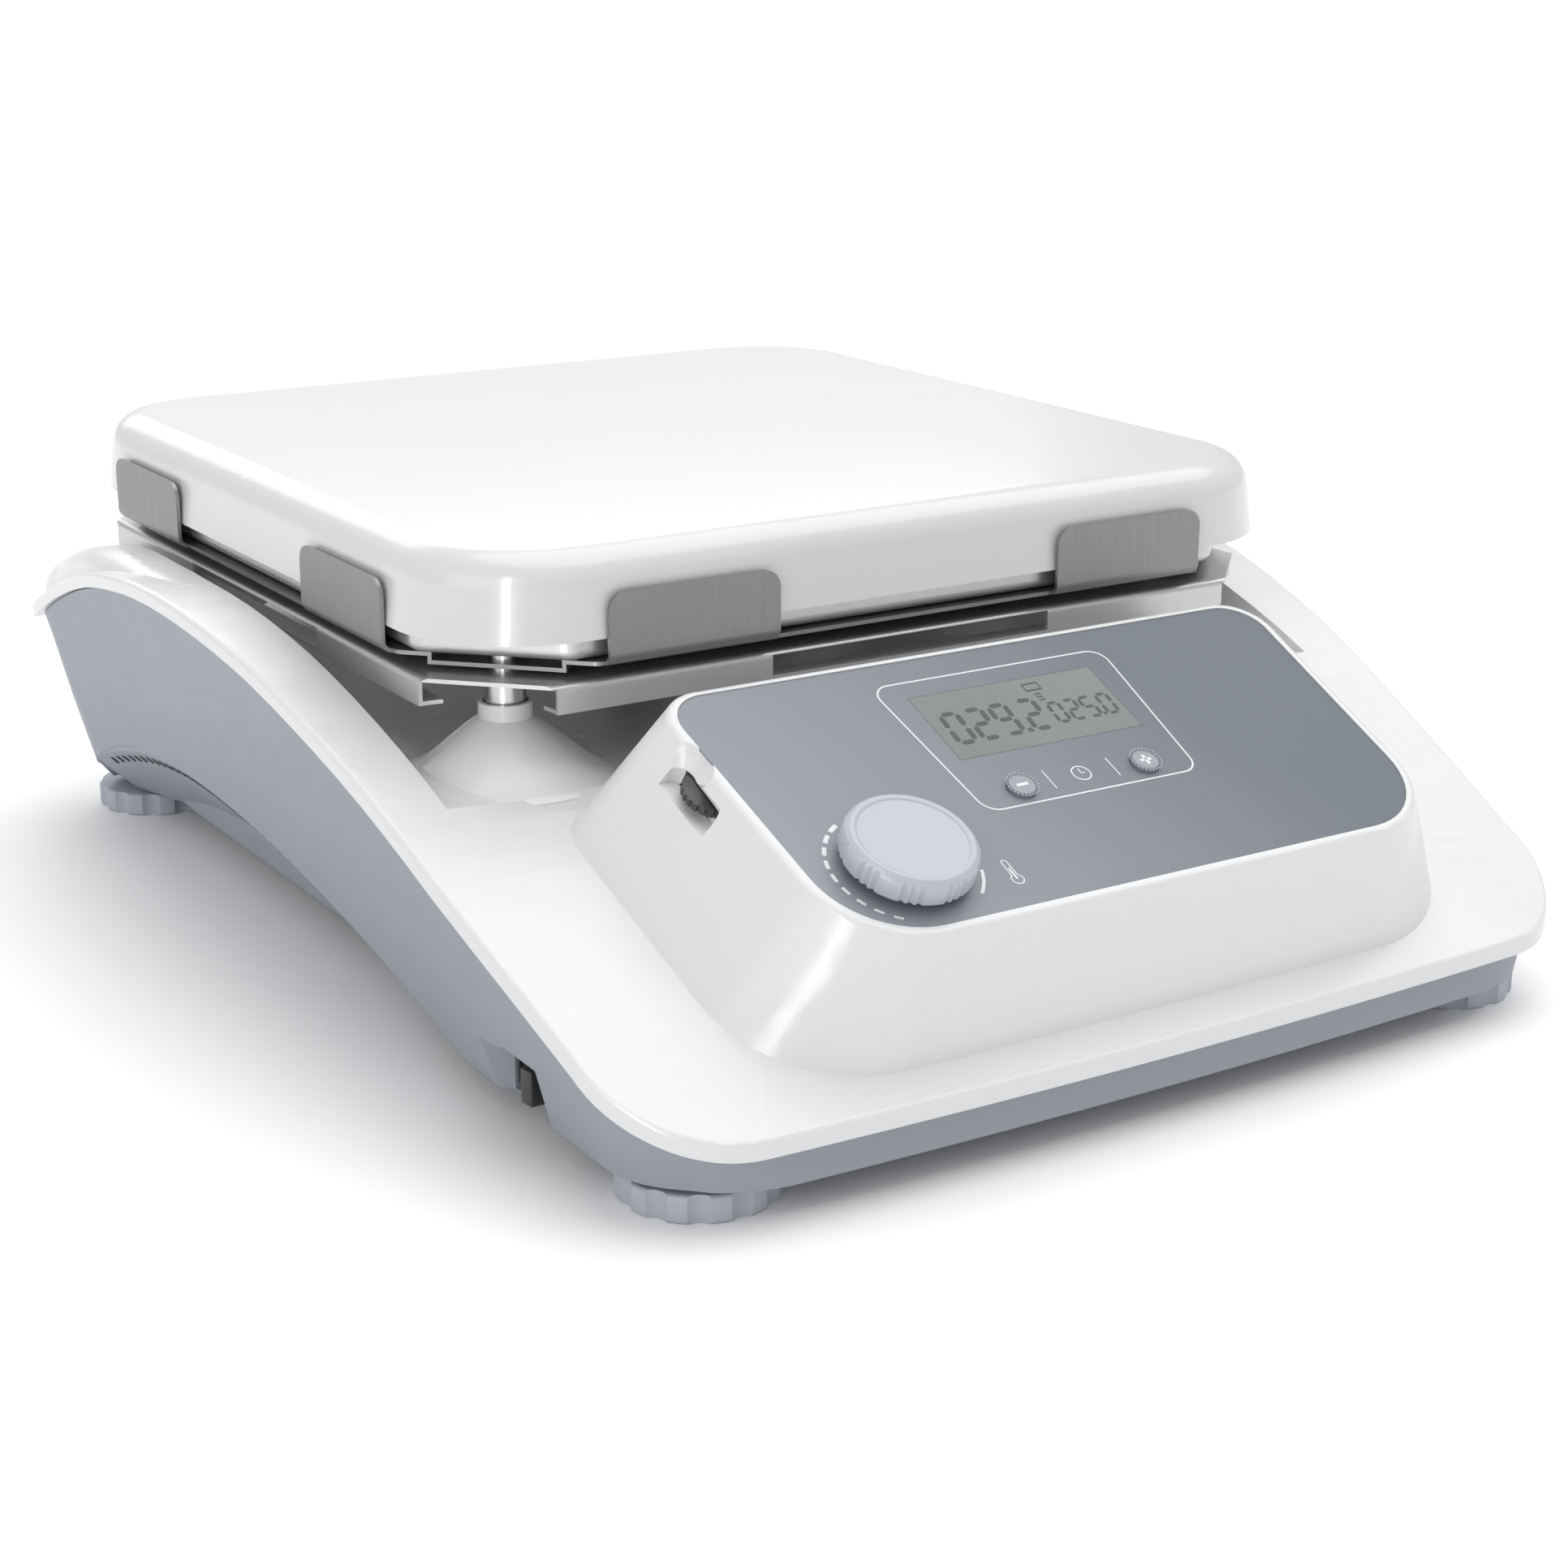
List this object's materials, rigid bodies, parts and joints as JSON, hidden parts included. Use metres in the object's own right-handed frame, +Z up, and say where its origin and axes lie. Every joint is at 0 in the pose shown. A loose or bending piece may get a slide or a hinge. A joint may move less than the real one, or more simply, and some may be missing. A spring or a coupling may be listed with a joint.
{
  "type": "laboratory hot plate",
  "caption": "Bench hot plate: square ceramic-coated plate on steel clips and posts over a moulded housing with a sloping panel, knob, display and levelling feet",
  "frame": {"origin": "on the bench, under the middle of the whole instrument's outline", "axes": "+X right for a user in front, +Y away from the user, +Z up"},
  "size_m": [0.298, 0.374, 0.1232],
  "materials": {
    "cover_white": "glossy white moulded ABS",
    "base_grey": "blue-grey moulded ABS, fine matt",
    "ceramic_white": "white ceramic coating on cast aluminium",
    "stainless": "bent stainless sheet",
    "steel": "zinc-plated turned steel",
    "membrane": "printed polyester overlay",
    "lens": "grey-green display behind a clear lens",
    "knob_grey": "pale grey moulded ABS",
    "button_grey": "grey moulded ABS",
    "foot_grey": "grey elastomer",
    "switch_black": "dark grey nylon",
    "heater": "mica heating element",
    "blanket": "ceramic fibre blanket",
    "board_green": "glass-epoxy circuit board",
    "component_black": "moulded component bodies",
    "aluminium": "extruded aluminium",
    "brass": "machined brass",
    "wire": "silicone wire insulation",
    "sleeve_white": "glazed ceramic sleeve"
  },
  "bodies": {
    "housing": {"top_cover": "cover_white", "base_housing": "base_grey", "top_plate": "ceramic_white", "heating_element": "heater", "insulation_blanket": "blanket", "temperature_sensor": "steel", "insulation_pan": "stainless", "clip_bracket": "stainless", "heat_shield": "stainless", "post_spacers": "steel", "post_sleeves": "steel", "post_studs": "steel", "lead_sleeve": "sleeve_white", "panel_membrane": "membrane", "display_lens": "lens", "lcd_module": "component_black", "control_board": "board_green", "control_board_screws": "steel", "encoder": "component_black", "key_switches": "component_black", "limit_potentiometer": "component_black", "power_switch": "switch_black", "mains_inlet": "switch_black", "inlet_pins": "brass", "foot_inserts": "brass", "power_board": "board_green", "power_board_screws": "steel", "heatsink": "aluminium", "triac": "component_black", "relay": "component_black", "board_transformer": "component_black", "capacitors": "component_black", "terminal_block": "component_black", "heater_leads": "wire", "mains_wiring": "wire", "switch_wiring": "wire", "housing_screws": "steel"},
    "temperature_dial": {"temperature_knob": "knob_grey", "knob_shaft": "steel"},
    "minus_key": {"button_minus": "button_grey"},
    "plus_key": {"button_plus": "button_grey"},
    "power_key": {"power_rocker": "switch_black"},
    "limit_dial": {"limit_wheel": "switch_black"},
    "fuse_carrier": {"fuse_drawer": "switch_black", "fuse": "lens"},
    "levelling_foot_front_left": {"foot_front_left": "foot_grey", "foot_stud_front_left": "steel"},
    "levelling_foot_front_right": {"foot_front_right": "foot_grey", "foot_stud_front_right": "steel"},
    "levelling_foot_rear_left": {"foot_rear_left": "foot_grey", "foot_stud_rear_left": "steel"},
    "levelling_foot_rear_right": {"foot_rear_right": "foot_grey", "foot_stud_rear_right": "steel"}
  },
  "joints": [
    {"name": "temperature_turn", "type": "hinge", "parent": "housing", "child": "temperature_dial", "pos_m": [-0.0609, -0.16147, 0.0659], "axis": [0, -0.4051, 0.9143], "continuous": true},
    {"name": "minus_press", "type": "slide", "parent": "housing", "child": "minus_key", "axis": [0, 0.4051, -0.9143], "range_m": [0, 0.0005], "stiffness_N_per_m": 600},
    {"name": "plus_press", "type": "slide", "parent": "housing", "child": "plus_key", "axis": [0, 0.4051, -0.9143], "range_m": [0, 0.0005], "stiffness_N_per_m": 600},
    {"name": "power_tip", "type": "hinge", "parent": "housing", "child": "power_key", "pos_m": [-0.1267, -0.116, 0.0154], "axis": [0, 0, 1], "range_deg": [0, 18]},
    {"name": "limit_turn", "type": "hinge", "parent": "housing", "child": "limit_dial", "pos_m": [-0.0854, -0.123, 0.07584], "axis": [0, -0.4051, 0.9143], "range_deg": [-135, 135]},
    {"name": "fuse_pull", "type": "slide", "parent": "housing", "child": "fuse_carrier", "axis": [0, 1, 0], "range_m": [0, 0.016]},
    {"name": "foot_turn_front_left", "type": "hinge", "parent": "housing", "child": "levelling_foot_front_left", "pos_m": [-0.1111, -0.1573, 0.003], "axis": [0, 0, 1], "continuous": true},
    {"name": "foot_turn_front_right", "type": "hinge", "parent": "housing", "child": "levelling_foot_front_right", "pos_m": [0.1111, -0.1573, 0.003], "axis": [0, 0, 1], "continuous": true},
    {"name": "foot_turn_rear_left", "type": "hinge", "parent": "housing", "child": "levelling_foot_rear_left", "pos_m": [-0.1111, 0.1649, 0.003], "axis": [0, 0, 1], "continuous": true},
    {"name": "foot_turn_rear_right", "type": "hinge", "parent": "housing", "child": "levelling_foot_rear_right", "pos_m": [0.1111, 0.1649, 0.003], "axis": [0, 0, 1], "continuous": true}
  ]
}
